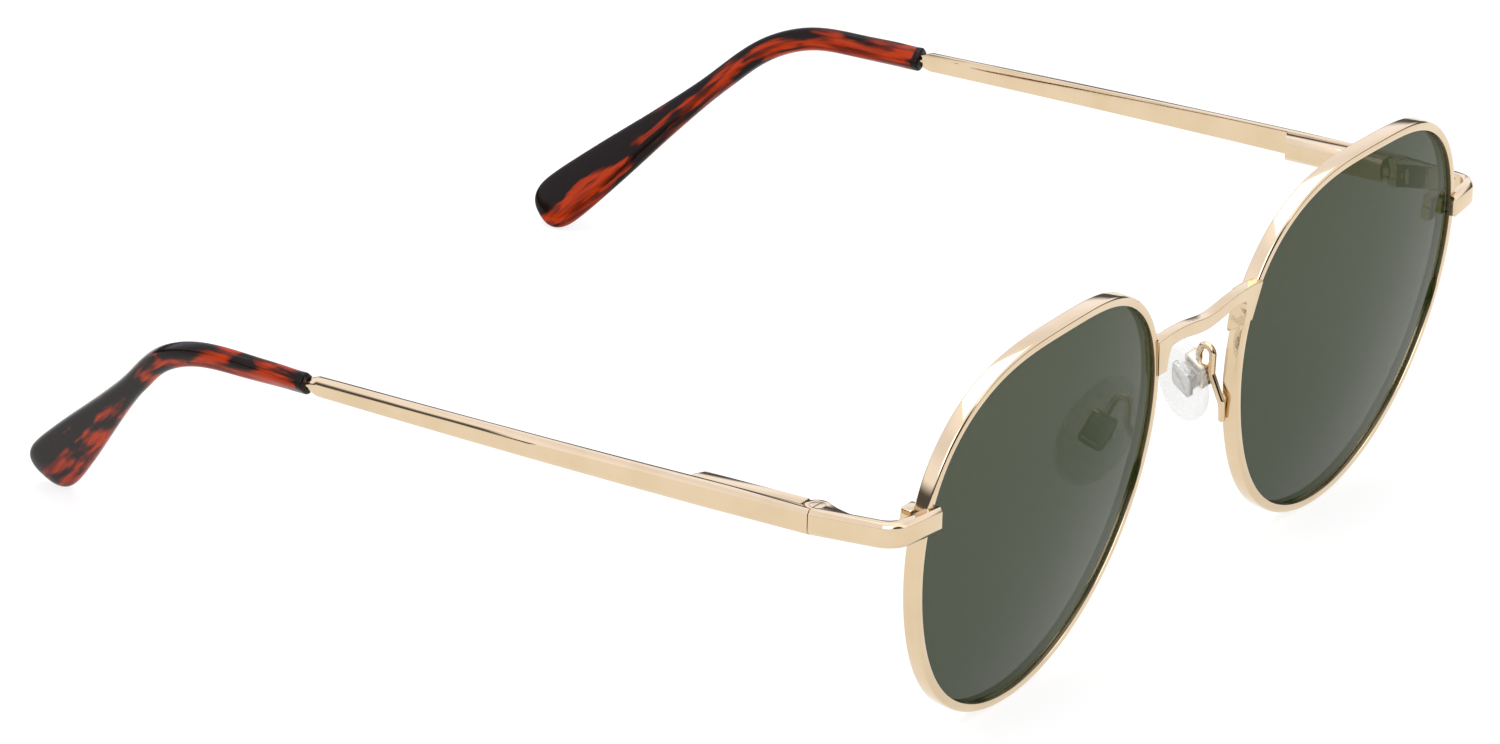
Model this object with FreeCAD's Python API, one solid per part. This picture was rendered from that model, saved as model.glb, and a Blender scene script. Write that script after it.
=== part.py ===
"""Metal-framed round sunglasses: front, sprung temples, tip covers and nose pads.

Two working frames are used. The front frame has its origin midway between the
lenses, in the plane of their front vertices: X towards the wearer's left, Y
backwards, Z up. The hinge frame has its origin at the left hinge, its Y axis
along the temple and its Z axis along the hinge screw. Everything is built for
the wearer's left side and mirrored for the right, then the whole is tilted to
stand on the rims and the temple tips.
"""
import FreeCAD, Part
import math
import os

Vec = FreeCAD.Vector

# Lenses: the usual box measurements, and terms that shape the outline
lens_width = 51.4
lens_height = 47.3
bridge_width = 20.9
lens_curve_radius = 113.0
lens_thickness = 1.35
lens_recess = 0.5
lens_clearance = 0.03
shape_oval = 0.035
shape_square = -0.0145
shape_lean = 0.006
shape_teardrop = 0.040

# Rims
rim_width = 1.1
rim_depth = 2.0
rim_front_radius = 0.42
rim_back_radius = 0.2
groove_depth = 0.45
groove_setback = 1.1
groove_half_width = 0.5
solder_gap = 0.02

# Closing blocks that clamp each rim about its lens
block_centre_z = 5.65
block_length = 2.5
block_half_height = 1.6
block_depth = 1.35
block_corner_radius = 0.3
rim_gap = 0.16
closing_screw_radius = 0.3
closing_head_radius = 0.5
closing_head_height = 0.4
screw_slot_width = 0.2
screw_slot_depth = 0.18

# Bridge
bridge_height = 1.85
bridge_depth = 1.25
bridge_setback = 2.75
bridge_crest_rise = 0.6
bridge_crest_x = 8.0
bridge_dip = 0.75
bridge_foot_width = 1.1
bridge_foot_depth = 2.2
bridge_foot_angle = 17.0
bridge_heel_angle = 13.0
bridge_top_angle = 26.5
bridge_inner_corner = 1.2
bridge_edge = 0.2

# Nose pads
pad_length = 14.1
pad_width = 8.2
pad_thickness = 2.3
pad_inset = 0.55
pad_centre_y = 9.9
pad_centre_z = -2.3
pad_splay = 24.0
pad_lean = 25.0
pad_turn = 20.0
pad_box_gap = 0.55
pad_box_width = 3.5
pad_box_length = 4.3
pad_box_depth = 1.5
pad_box_wall = 0.45
pad_lug_clearance = 0.3
pad_core_border = 0.3
pad_core_corner = 0.5
pad_core_thickness = 0.7
pad_screw_radius = 0.35
pad_screw_head_radius = 0.6
pad_screw_head_height = 0.4
arm_wire_radius = 0.44
arm_bend_radius = 0.9
arm_root_angle = -12.0
arm_root_z = -6.0
arm_lead = 1.6
# bends of the arm: steps back from its root, and heights
arm_bends = ((-0.2, -3.4), (1.75, -0.2), (2.0, 2.4), (3.2, 3.9))

# Bar section shared by the endpieces and the temples
bar_height = 3.0
bar_thickness = 1.3
bar_bevel_height = 0.5
bar_bevel_depth = 0.35

# Hinges
hinge_outboard = 6.55
hinge_setback = 10.75
hinge_drop = 0.4
temple_slope = 7.3
bar_offset = 0.9
seam_gap = 0.1
knuckle_radius = 1.45
knuckle_clearance = 0.15
tongue_thickness = 0.95
tongue_clearance = 0.05
hinge_screw_radius = 0.6
hinge_head_radius = 0.95
hinge_head_height = 0.4
pivot_clearance = 0.05
thread_clearance = 0.01

# Endpieces
plate_proud = 1.0
plate_overlap = 0.8
plate_sweep = 7.0
side_splay = 8.5
corner_radius = 3.0
flare_length = 6.0
flare_hollow = 0.35
corner_cut_width = 1.0
corner_cut_height = 0.5

# Spring hinge mechanism
housing_width = 2.5
housing_height = 2.95
housing_start = 1.75
housing_length = 14.4
plunger_radius = 0.8
plunger_clearance = 0.05
plunger_length = 2.4
plunger_rod_radius = 0.4
spring_travel = 0.8
spring_stop_length = 1.2
spring_wire_radius = 0.11
spring_radius = 0.6
spring_length = 5.6
spring_turns = 8
spring_head_length = 0.6
retaining_pin_radius = 0.35

# Temples and tips
temple_length = 68.7
temple_straight = 15.0
temple_turn_in = 2.5
temple_end_height = 2.3
temple_end_thickness = 1.05
temple_end_taper = 1.4
temple_end_bevel = 0.85
core_radius = 0.55
core_clearance = 0.03
core_end_margin = 11.0
tip_straight = 12.4
tip_bend_radius = 17.2
tip_bend_angle = 46.0
tip_bend_lean = 24.0
tip_tail = 34.2
tip_height = 2.95
tip_thickness = 2.3
tip_blade_height = 7.0
tip_blade_thickness = 2.1
tip_blade_length = 29.0
tip_end_length = 4.2
tip_squareness = 2.8
tip_lip_radius = 0.35


def sine(degrees):
    return math.sin(math.radians(degrees))


def cosine(degrees):
    return math.cos(math.radians(degrees))


def tangent(degrees):
    return math.tan(math.radians(degrees))


# ---------------------------------------------------------------- small tools

def polygon_wire(points):
    """A closed wire of straight edges through the points."""
    return Part.makePolygon(points + points[:1])


def smooth_edge(points, closed=False):
    """One curved edge through the points."""
    curve = Part.BSplineCurve()
    curve.interpolate(Points=points, PeriodicFlag=closed)
    return curve.toShape()


def solid_from(faces):
    """A solid from faces that close round it."""
    shell = Part.makeShell(faces)
    shell.sewShape()
    solid = Part.makeSolid(shell)
    if solid.Volume < 0:
        solid.reverse()
    return solid


def cylinder(radius, start, direction, length):
    return Part.makeCylinder(radius, length, start, direction)


def box(low, high):
    """A box between two corners."""
    size = high - low
    return Part.makeBox(size.x, size.y, size.z, low)


def rounded_path(points, radius):
    """A wire of straight runs through the points, with an arc at each corner."""
    edges = []
    start = points[0]
    for before, corner, after in zip(points, points[1:], points[2:]):
        back = (before - corner).normalize()
        on = (after - corner).normalize()
        half = back.getAngle(on) / 2
        reach = radius / math.tan(half)
        middle = (back + on).normalize() * (radius / math.sin(half) - radius)
        first = corner + back * reach
        last = corner + on * reach
        edges.append(Part.LineSegment(start, first).toShape())
        edges.append(Part.Arc(first, corner + middle, last).toShape())
        start = last
    edges.append(Part.LineSegment(start, points[-1]).toShape())
    return Part.Wire(edges)


def wire_solid(path, radius):
    """A round wire along a path."""
    first = path.OrderedEdges[0]
    start = first.valueAt(first.FirstParameter)
    direction = first.tangentAt(first.FirstParameter)
    ring = Part.Wire(Part.makeCircle(radius, start, direction))
    return path.makePipeShell([ring], True, False)


# ---------------------------------------------------------------- lens outline

outline_steps = 360


def unit_radius(angle):
    """Radius of the lens outline before sizing; angle 0 points to the nose, 90 up."""
    return (1 + shape_oval * cosine(2 * angle) + shape_square * cosine(4 * angle)
            + shape_lean * sine(2 * angle) + shape_teardrop * sine(3 * angle))


def unit_extent(direction):
    """The outline's lowest and highest reach, along the nose (cosine) or up (sine)."""
    reach = [unit_radius(a) * direction(a) for a in range(outline_steps)]
    return min(reach), max(reach)


temporal_unit, nasal_unit = unit_extent(cosine)
low_unit, high_unit = unit_extent(sine)
outline_x_scale = (lens_width - 2 * groove_depth) / (nasal_unit - temporal_unit)
outline_z_scale = (lens_height - 2 * groove_depth) / (high_unit - low_unit)
lens_centre_x = bridge_width / 2 + groove_depth + nasal_unit * outline_x_scale


def opening_offset(angle):
    """Place on the lens opening, from the lens centre: X away from the nose, Z up."""
    radius = unit_radius(angle)
    return Vec(-radius * cosine(angle) * outline_x_scale, 0, radius * sine(angle) * outline_z_scale)


def opening_normal(angle):
    """Outward direction of the lens opening."""
    along = opening_offset(angle + 0.1) - opening_offset(angle - 0.1)
    normal = Vec(along.z, 0, -along.x).normalize()
    return normal if normal.dot(opening_offset(angle)) > 0 else normal * -1


def dish(offset):
    """How far the lens surface lies behind its front vertex at an offset from its centre."""
    square = lens_curve_radius ** 2 - offset.x ** 2 - offset.z ** 2
    return lens_curve_radius - math.sqrt(square)


def rim_point(angle, out, back):
    """A point of the left rim: out from the lens opening, back from its front edge."""
    offset = opening_offset(angle)
    return Vec(lens_centre_x, dish(offset) + back, 0) + offset + opening_normal(angle) * out


def rim_edge(out, back, start, end, steps=60):
    """A curve along the rim between two angles."""
    angles = [start + (end - start) * i / steps for i in range(steps + 1)]
    return smooth_edge([rim_point(a, out, back) for a in angles])


def rim_length_solid(section, start, end):
    """A length of the rim with the given section of (out, back) corners."""
    edges = [rim_edge(out, back, start, end) for out, back in section]
    sides = [Part.makeRuledSurface(a, b) for a, b in zip(edges, edges[1:] + edges[:1])]
    ends = [Part.Face(polygon_wire([rim_point(angle, out, back) for out, back in section]))
            for angle in (start, end)]
    return solid_from(sides + ends)


# ---------------------------------------------------------------- front pieces

block_angle = 180 - math.degrees(math.asin(block_centre_z / (lens_width / 2)))
gap_half_angle = math.degrees(rim_gap / lens_width)


def section_corner(out, back, radius, start):
    """Points round a quarter circle of the rim's section, about a centre."""
    turns = [start + 22.5 * step for step in range(5)]
    return [(out + radius * sine(turn), back - radius * cosine(turn)) for turn in turns]


def make_rim():
    """The grooved rim, open at the closing block, with its outer edges rounded."""
    section = [(0, 0)]
    section += section_corner(rim_width - rim_front_radius, rim_front_radius, rim_front_radius, 0)
    section += section_corner(rim_width - rim_back_radius, rim_depth - rim_back_radius, rim_back_radius, 90)
    section += [(0, rim_depth), (0, groove_setback + groove_half_width),
                (groove_depth, groove_setback), (0, groove_setback - groove_half_width)]
    return rim_length_solid(section, block_angle - 360 + gap_half_angle, block_angle - gap_half_angle)


def make_lens():
    """The dished lens, with a ridge round its edge that sits in the rim's groove."""
    front_reach = -lens_curve_radius / 10
    back_reach = lens_curve_radius / 5
    profile = [(-lens_clearance, groove_setback - groove_half_width),
               (groove_depth - lens_clearance, groove_setback),
               (-lens_clearance, groove_setback + groove_half_width)]
    angles = [360 * i / 72 for i in range(72)]

    def ring(out, back=None, level=None):
        points = [rim_point(a, out, back or 0) for a in angles]
        if level is not None:
            points = [Vec(p.x, level, p.z) for p in points]
        return smooth_edge(points, closed=True)

    rings = [ring(-lens_clearance, level=front_reach)]
    rings += [ring(out, back=back) for out, back in profile]
    rings.append(ring(-lens_clearance, level=back_reach))
    sides = [Part.makeRuledSurface(a, b) for a, b in zip(rings, rings[1:])]
    caps = [Part.Face(Part.Wire(rings[0])), Part.Face(Part.Wire(rings[-1]))]
    envelope = solid_from(sides + caps)
    centre = Vec(lens_centre_x, lens_curve_radius + lens_recess, 0)
    outer = Part.makeSphere(lens_curve_radius, centre)
    inner = Part.makeSphere(lens_curve_radius - lens_thickness, centre)
    return envelope.common(outer).cut(inner)


def make_closing_blocks():
    """Upper and lower halves of the closing block, and the screw that draws them together."""
    at_gap = rim_point(block_angle, rim_width, rim_depth)
    back = max(rim_point(block_angle + turn, rim_width, rim_depth).y for turn in (-6, 0, 6))
    outer_x = at_gap.x + rim_gap
    inner_x = outer_x - block_length
    front_y = back + solder_gap
    back_y = front_y + block_depth
    axis = Vec((outer_x + inner_x) / 2, (front_y + back_y) / 2, at_gap.z)
    top = at_gap.z + block_half_height
    bottom = at_gap.z - block_half_height
    upper = box(Vec(inner_x, front_y, at_gap.z + rim_gap / 2), Vec(outer_x, back_y, top))
    lower = box(Vec(inner_x, front_y, bottom), Vec(outer_x, back_y, at_gap.z - rim_gap / 2))
    upper = round_back_corners(upper, axis.y)
    lower = round_back_corners(lower, axis.y)
    up = Vec(0, 0, 1)
    shank_start = axis - up * block_half_height
    shank_length = 2 * block_half_height - rim_gap * 2
    screw = cylinder(closing_screw_radius, shank_start, up, shank_length)
    screw = screw.fuse(cylinder(closing_head_radius, shank_start, up, closing_head_height))
    slot = box(Vec(-closing_head_radius, -screw_slot_width / 2, 0),
               Vec(closing_head_radius, screw_slot_width / 2, screw_slot_depth))
    slot.translate(shank_start)
    screw = screw.cut(slot)
    hole = cylinder(closing_screw_radius + thread_clearance, shank_start, up, shank_length + rim_gap)
    head_room = closing_head_height + thread_clearance
    recess = cylinder(closing_head_radius + thread_clearance, shank_start, up, head_room)
    return upper.cut(hole), lower.cut(hole).cut(recess), screw


def round_back_corners(block, middle_y):
    """A closing block with its two upright back edges rounded."""
    back_edges = [e for e in block.Edges if is_upright(e) and e.Vertexes[0].Y > middle_y]
    return block.makeFillet(block_corner_radius, back_edges)


def is_upright(edge):
    """Whether a straight edge runs along Z."""
    box_of_edge = edge.BoundBox
    return box_of_edge.XLength < 0.01 and box_of_edge.YLength < 0.01


def rim_seat(start, end):
    """The space that the rim and its lens fill between two angles, with the solder gap round it."""
    inner = -3 * rim_width
    section = [(inner, -solder_gap), (rim_width + solder_gap, -solder_gap),
               (rim_width + solder_gap, rim_depth + solder_gap), (inner, rim_depth + solder_gap)]
    return rim_length_solid(section, start, end)


def both_sides(points):
    """Points from the side to the middle, followed by their mirror images."""
    return points + [Vec(-p.x, p.y, p.z) for p in reversed(points[:-1])]


def bridge_crest_z():
    """Height of the bridge's two crests, above where it meets the rims."""
    return rim_point(bridge_top_angle, rim_width, 0).z + bridge_crest_rise


def bridge_outline(foot_angle):
    """The bridge seen from the front, with each foot ending at an angle round the rim."""
    foot = rim_point(foot_angle, rim_width, 0)
    top = rim_point(bridge_top_angle, rim_width, 0)
    crest_z = bridge_crest_z()
    under = crest_z - bridge_height
    mid_x = bridge_crest_x / 2
    mid_drop = bridge_dip * 0.4
    inside_rim = rim_width / 2
    upper = [Vec(top.x + inside_rim, 0, crest_z - bridge_dip / 3), Vec(bridge_crest_x, 0, crest_z),
             Vec(mid_x, 0, crest_z - mid_drop), Vec(0, 0, crest_z - bridge_dip)]
    inner_x = bridge_foot_inner_x()
    turn = bridge_inner_corner
    lower = [Vec(foot.x + inside_rim, 0, foot.z), Vec(foot.x - bridge_foot_width / 2, 0, foot.z + turn / 5),
             Vec(inner_x, 0, foot.z + turn), Vec(inner_x, 0, under - turn),
             Vec(inner_x - turn / 4, 0, under - turn / 4), Vec(inner_x - turn, 0, under),
             Vec(mid_x, 0, under - mid_drop), Vec(0, 0, under - bridge_dip)]
    upper_edge = smooth_edge(both_sides(upper))
    lower_edge = smooth_edge(both_sides(lower))
    left = Part.LineSegment(lower[0], upper[0]).toShape()
    right = Part.LineSegment(both_sides(lower)[-1], both_sides(upper)[-1]).toShape()
    return Part.Face(Part.Wire(Part.__sortEdges__([upper_edge, left, lower_edge, right])))


def bridge_foot_inner_x():
    """Where the bridge's feet face the nose."""
    return rim_point(bridge_foot_angle, rim_width, 0).x - bridge_foot_width


def make_bridge():
    """The one-piece bridge: a waved bar with a deeper, slanted foot down each rim's nose side."""
    bar = bridge_outline(bridge_foot_angle).extrude(Vec(0, bridge_depth, 0))
    long_edges = [e for e in bar.Edges
                  if e.BoundBox.YLength < 0.01 and e.BoundBox.XLength > bridge_width / 2]
    bar = bar.makeFillet(bridge_edge, long_edges)
    feet = bridge_outline(bridge_heel_angle).extrude(Vec(0, bridge_foot_depth, 0))
    between = bridge_foot_inner_x() - bridge_inner_corner / 4
    feet = feet.cut(box(Vec(-between, -1, -lens_height), Vec(between, bridge_foot_depth + 1, lens_height)))
    # behind the bar the feet stop halfway up it
    shoulder_z = bridge_crest_z() - bridge_height / 2
    feet = feet.cut(box(Vec(-lens_width, -1, shoulder_z), Vec(lens_width, bridge_foot_depth + 1, lens_height)))
    toe_z = rim_point(bridge_foot_angle, rim_width, 0).z
    heel_z = rim_point(bridge_heel_angle, rim_width, 0).z
    slant = polygon_wire([Vec(-lens_width, 0, toe_z), Vec(-lens_width, bridge_foot_depth, heel_z),
                          Vec(-lens_width, bridge_foot_depth, heel_z - 1), Vec(-lens_width, -1, heel_z - 1),
                          Vec(-lens_width, -1, toe_z)])
    feet = feet.cut(Part.Face(slant).extrude(Vec(2 * lens_width, 0, 0)))
    bridge = bar.fuse(feet)
    bridge.translate(Vec(0, bridge_setback, 0))
    seat = rim_seat(bridge_heel_angle - 15, bridge_top_angle + 15)
    return bridge.cut([seat, seat.mirror(Vec(0, 0, 0), Vec(1, 0, 0))]).removeSplitter()


# ---------------------------------------------------------------- nose pads

def pad_placement():
    """Pad frame: X forwards, Y up the pad, Z towards the nose."""
    back = Vec(sine(pad_splay), cosine(pad_splay), 0)
    across = Vec(cosine(pad_splay), -sine(pad_splay), 0)
    up = Vec(0, 0, 1) * cosine(pad_lean) - across * sine(pad_lean)
    turned_up = up * cosine(pad_turn) - back * sine(pad_turn)
    turned_back = back * cosine(pad_turn) + up * sine(pad_turn)
    rotation = FreeCAD.Rotation(turned_back * -1, turned_up, Vec(0, 0, 0), "XYZ")
    centre = Vec(bridge_width / 2 - pad_inset, pad_centre_y, pad_centre_z)
    return FreeCAD.Placement(centre, rotation)


def pad_ring(scale, level):
    """The pad's rounded outline, fuller below, at a level above its mid-plane."""
    points = []
    for step in range(24):
        angle = 15.0 * step
        fullness = 1 - 0.06 * sine(angle)
        x = pad_width / 2 * fullness * cosine(angle)
        y = pad_length / 2 * sine(angle)
        points.append(Vec(x * scale, y * (1 - (1 - scale) * 0.6), level))
    return Part.Wire(smooth_edge(points, closed=True))


pad_back_level = -pad_thickness / 2
box_front_level = pad_back_level - pad_box_gap
box_mid_level = box_front_level - pad_box_depth / 2


def make_pad_set():
    """Soft pad, its stiff core with the lug, the box that holds the lug, and the cross screw."""
    half = pad_thickness / 2
    layers = [(0.9, -half), (0.98, -half * 0.6), (1.0, 0.0), (0.95, half * 0.6), (0.8, half)]
    pad = Part.makeLoft([pad_ring(scale, level) for scale, level in layers], True, False)
    inner_width = pad_box_width - 2 * pad_box_wall
    inner_length = pad_box_length - 2 * pad_box_wall
    lug_half_width = inner_width / 2 - tongue_clearance
    lug_half_length = inner_length / 2 - pad_lug_clearance
    lug_back = box_mid_level - pad_box_depth / 2 + pad_lug_clearance
    core_top = pad_core_thickness / 2
    lug = box(Vec(-lug_half_width, -lug_half_length, lug_back), Vec(lug_half_width, lug_half_length, 0))
    plate_half_width = inner_width / 2 + pad_core_border
    plate = box(Vec(-plate_half_width, -pad_box_length / 2, -core_top),
                Vec(plate_half_width, pad_box_length / 2, core_top))
    plate = plate.makeFillet(pad_core_corner, [e for e in plate.Edges if is_upright(e)])
    core = plate.fuse(lug)
    pad = pad.cut(core)
    forwards = Vec(1, 0, 0)
    pivot = Vec(0, 0, box_mid_level)
    half_width = pad_box_width / 2
    reach = half_width + pad_screw_head_height
    head_recess = pad_box_wall / 2
    screw = cylinder(pad_screw_radius, pivot - forwards * half_width, forwards, pad_box_width)
    head_start = pivot + forwards * (half_width - head_recess)
    screw = screw.fuse(cylinder(pad_screw_head_radius, head_start, forwards, pad_screw_head_height))
    slot = box(Vec(half_width - head_recess + pad_screw_head_height - screw_slot_depth, -pad_screw_head_radius,
                   box_mid_level - screw_slot_width / 2),
               Vec(half_width + pad_screw_head_height, pad_screw_head_radius,
                   box_mid_level + screw_slot_width / 2))
    screw = screw.cut(slot)
    loose_hole = cylinder(pad_screw_radius + pivot_clearance, pivot - forwards * reach, forwards, 2 * reach)
    core = core.cut(loose_hole)
    box_low = Vec(-half_width, -pad_box_length / 2, box_front_level - pad_box_depth)
    box_high = Vec(half_width, pad_box_length / 2, box_front_level)
    ring = box(box_low, box_high)
    ring = ring.makeFillet(pad_box_wall * 1.6, [e for e in ring.Edges if is_upright(e)])
    wall = Vec(pad_box_wall, pad_box_wall, 0)
    through = Vec(0, 0, pad_box_depth)
    room = box(box_low + wall - through, box_high - wall + through)
    room = room.makeFillet(pad_box_wall * 0.6, [e for e in room.Edges if is_upright(e)])
    head_room = cylinder(pad_screw_head_radius + thread_clearance, head_start - forwards * thread_clearance,
                         forwards, pad_screw_head_height)
    tight_radius = pad_screw_radius + thread_clearance
    tight_hole = cylinder(tight_radius, pivot - forwards * reach, forwards, 2 * reach)
    ring = ring.cut([room, tight_hole, head_room])
    placed = []
    for shape in (pad, core, ring, screw):
        moved = shape.copy()
        moved.Placement = pad_placement().multiply(moved.Placement)
        placed.append(moved)
    return placed


def make_pad_arm():
    """The bent wire from the rim's nose side, up and over, to the top of the pad box."""
    frame = pad_placement()
    top = pad_box_length / 2 + solder_gap
    box_top = frame.multVec(Vec(0, top, box_mid_level))
    above_box = frame.multVec(Vec(0, top + arm_lead * arm_bend_radius, box_mid_level))
    beside_rim = rim_width + arm_wire_radius / 2
    root_x = rim_point(arm_root_angle, beside_rim, 0).x
    clear_x = rim_point(0, beside_rim, 0).x
    root_y = dish(opening_offset(arm_root_angle)) + rim_depth - arm_wire_radius / 2
    bends = [Vec(clear_x, root_y + step_back, height) for step_back, height in arm_bends]
    points = [Vec(root_x, root_y, arm_root_z)] + bends + [above_box, box_top]
    arm = wire_solid(rounded_path(points, arm_bend_radius), arm_wire_radius)
    return arm.cut(rim_seat(arm_root_angle - 15, arm_root_angle + 30))


# ---------------------------------------------------------------- hinge frame

def hinge_placement():
    """Hinge frame of the left side, in the front frame."""
    centre = Vec(rim_point(180, 0, 0).x + hinge_outboard,
                 dish(opening_offset(block_angle)) + hinge_setback, block_centre_z - hinge_drop)
    return FreeCAD.Placement(centre, FreeCAD.Rotation(Vec(1, 0, 0), -temple_slope))


def in_front_frame(shape):
    """A shape made in the hinge frame, moved to the front frame."""
    moved = shape.copy()
    moved.Placement = hinge_placement().multiply(moved.Placement)
    return moved


def bar_section(height, thickness, bevel_height=bar_bevel_height):
    """Corners (x, z) of the bar: flat inside, bevelled along its outer edges."""
    half = height / 2
    slope_x = thickness - bar_bevel_depth
    slope_z = half - bevel_height
    return [(0, -half), (slope_x, -half), (thickness, -slope_z),
            (thickness, slope_z), (slope_x, half), (0, half)]


def upper_head_recess():
    """The room for the hinge screw's head at the top of the upper knuckle."""
    start = Vec(0, 0, bar_height / 2 - hinge_head_height - thread_clearance)
    return cylinder(hinge_head_radius + thread_clearance, start, Vec(0, 0, 1), bar_height)


def make_endpiece():
    """The bevelled strap from the rim's front round to the hinge, with its two knuckles."""
    plate_end_x = -hinge_outboard - plate_overlap
    plate_y = -(hinge_setback + plate_proud) / cosine(temple_slope)
    outer_x = bar_offset + bar_thickness
    # outer faces: the plate's front line and the side line meet at the corner
    side_slope = tangent(side_splay)
    sweep = tangent(plate_sweep)
    corner_y = (plate_y + sweep * (outer_x - plate_end_x)) / (1 - sweep * side_slope)
    corner_x = outer_x + side_slope * corner_y
    half = bar_thickness / 2
    plate_normal = Vec(-sine(plate_sweep), cosine(plate_sweep), 0)
    side_normal = Vec(-cosine(side_splay), sine(side_splay), 0)
    inset = (plate_normal + side_normal) * (half / (1 + plate_normal.dot(side_normal)))
    start = Vec(plate_end_x, plate_y, 0) + plate_normal * half
    corner = Vec(corner_x, corner_y, 0) + inset
    side_along = Vec(side_normal.y, -side_normal.x, 0)
    end = Vec(outer_x, 0, 0) + side_normal * half + side_along * bar_thickness
    path = rounded_path([start, corner, end], corner_radius)
    section = [start + plate_normal * (half - x) + Vec(0, 0, z)
               for x, z in bar_section(bar_height, bar_thickness)]
    strap = path.makePipeShell([polygon_wire(section)], True, False)
    strap = strap.cut(box(Vec(-bar_thickness, -seam_gap, -bar_height),
                          Vec(outer_x + bar_thickness, 3 * bar_thickness, bar_height)))
    half_height = bar_height / 2
    up = Vec(0, 0, 1)
    knuckle = cylinder(knuckle_radius, Vec(0, 0, -half_height), up, bar_height)
    root_x = bar_offset + bar_thickness / 3
    flare_start = Vec(root_x - side_slope * flare_length, -flare_length, -half_height)
    flare_end = Vec(-knuckle_radius * cosine(18), -knuckle_radius * sine(18), -half_height)
    mid = (flare_start + flare_end) * 0.5 + Vec(flare_hollow, 0, 0)
    flare_edges = [Part.Arc(flare_start, mid, flare_end).toShape()]
    corners = [flare_end, Vec(0, 0, -half_height), Vec(root_x, -seam_gap, -half_height), flare_start]
    flare_edges += [Part.LineSegment(a, b).toShape() for a, b in zip(corners, corners[1:])]
    flare = Part.Face(Part.Wire(flare_edges)).extrude(up * bar_height)
    body = strap.fuse([knuckle, flare]).removeSplitter()
    # slot for the plunger's tongue, and the screw's hole
    slot_height = tongue_thickness + 2 * tongue_clearance
    slot = cylinder(knuckle_radius + knuckle_clearance, Vec(0, 0, -slot_height / 2), up, slot_height)
    body = body.cut(slot)
    hole = cylinder(hinge_screw_radius + thread_clearance, Vec(0, 0, -half_height), up, bar_height)
    body = body.cut(hole).cut(upper_head_recess())
    # the plate's lower inner corner is cut across
    low_z = -half_height
    beyond_x = plate_end_x - bar_thickness
    wedge = polygon_wire([Vec(x, plate_y - bar_thickness, z) for x, z in (
        (plate_end_x, low_z + corner_cut_height), (plate_end_x + corner_cut_width, low_z),
        (plate_end_x + corner_cut_width, low_z - 1), (beyond_x, low_z - 1),
        (beyond_x, low_z + corner_cut_height))])
    body = body.cut(Part.Face(wedge).extrude(Vec(0, 4 * bar_thickness, 0)))
    return in_front_frame(body).cut(rim_seat(block_angle - 30, block_angle + 30))


def make_hinge_screw():
    """The screw through the knuckles and the tongue, with a slotted head."""
    up = Vec(0, 0, 1)
    low = Vec(0, 0, -bar_height / 2)
    shank = cylinder(hinge_screw_radius, low, up, bar_height - hinge_head_height)
    head = cylinder(hinge_head_radius, Vec(0, 0, bar_height / 2 - hinge_head_height), up, hinge_head_height)
    slot = box(Vec(-hinge_head_radius, -screw_slot_width / 2, bar_height / 2 - screw_slot_depth),
               Vec(hinge_head_radius, screw_slot_width / 2, bar_height / 2))
    return in_front_frame(shank.fuse(head).cut(slot))


def bore_axis_x():
    """The plunger's axis, in the middle of the housing."""
    return bar_offset - solder_gap - housing_width / 2


def make_plunger():
    """The sprung middle knuckle: tongue, guide, thin rod and end head, in one piece."""
    up = Vec(0, 0, 1)
    along = Vec(0, 1, 0)
    half = tongue_thickness / 2
    axis_x = bore_axis_x()
    tongue_radius = knuckle_radius - 0.1
    tongue = cylinder(tongue_radius, Vec(0, 0, -half), up, tongue_thickness)
    guide_start = housing_start
    neck = box(Vec(axis_x - plunger_radius * 0.8, 0, -half),
               Vec(axis_x + plunger_radius * 0.8, guide_start + 0.4, half))
    guide = cylinder(plunger_radius, Vec(axis_x, guide_start, 0), along, plunger_length)
    rod_start = Vec(axis_x, guide_start + plunger_length, 0)
    rod_length = spring_stop_length + spring_length + spring_head_length
    rod = cylinder(plunger_rod_radius, rod_start, along, rod_length)
    head_start = rod_start + along * (rod_length - spring_head_length)
    head = cylinder(plunger_radius, head_start, along, spring_head_length)
    body = tongue.fuse([neck, guide, rod, head]).removeSplitter()
    hole = cylinder(hinge_screw_radius + pivot_clearance, Vec(0, 0, -1), up, 2)
    return in_front_frame(body.cut(hole))


def stop_start_y():
    """Where the spring's stop begins, just behind the plunger's guide."""
    return housing_start + plunger_length + plunger_clearance


def make_spring_set():
    """The housing's fittings: the stop bush, its retaining pin and the coil spring."""
    along = Vec(0, 1, 0)
    axis_x = bore_axis_x()
    bore = plunger_radius + plunger_clearance
    start = Vec(axis_x, stop_start_y(), 0)
    bush_length = spring_stop_length - 2 * plunger_clearance
    bush = cylinder(bore - thread_clearance, start, along, bush_length)
    bush = bush.cut(cylinder(plunger_rod_radius + plunger_clearance, start, along, bush_length))
    pin_y = start.y + bush_length / 2
    pin_start = Vec(axis_x - housing_width / 2, pin_y, 0)
    outward = Vec(1, 0, 0)
    pin_length = housing_width / 2 - plunger_rod_radius - plunger_clearance - thread_clearance * 2
    pin = cylinder(retaining_pin_radius, pin_start, outward, pin_length)
    pin_room = cylinder(retaining_pin_radius + thread_clearance, pin_start, outward, pin_length + 0.2)
    bush = bush.cut(pin_room)
    margin = spring_wire_radius + plunger_clearance
    coil_length = spring_length - 2 * margin
    pitch = coil_length / spring_turns
    coil_start = start + along * (bush_length + margin)
    helix = Part.makeHelix(pitch, coil_length, spring_radius)
    ring = Part.Wire(Part.makeCircle(spring_wire_radius, Vec(spring_radius, 0, 0), Vec(0, 1, 0)))
    coil = Part.Wire(helix).makePipeShell([ring], True, True)
    coil.Placement = FreeCAD.Placement(coil_start, FreeCAD.Rotation(Vec(0, 0, 1), along))
    return in_front_frame(bush), in_front_frame(pin), in_front_frame(coil)


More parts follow.
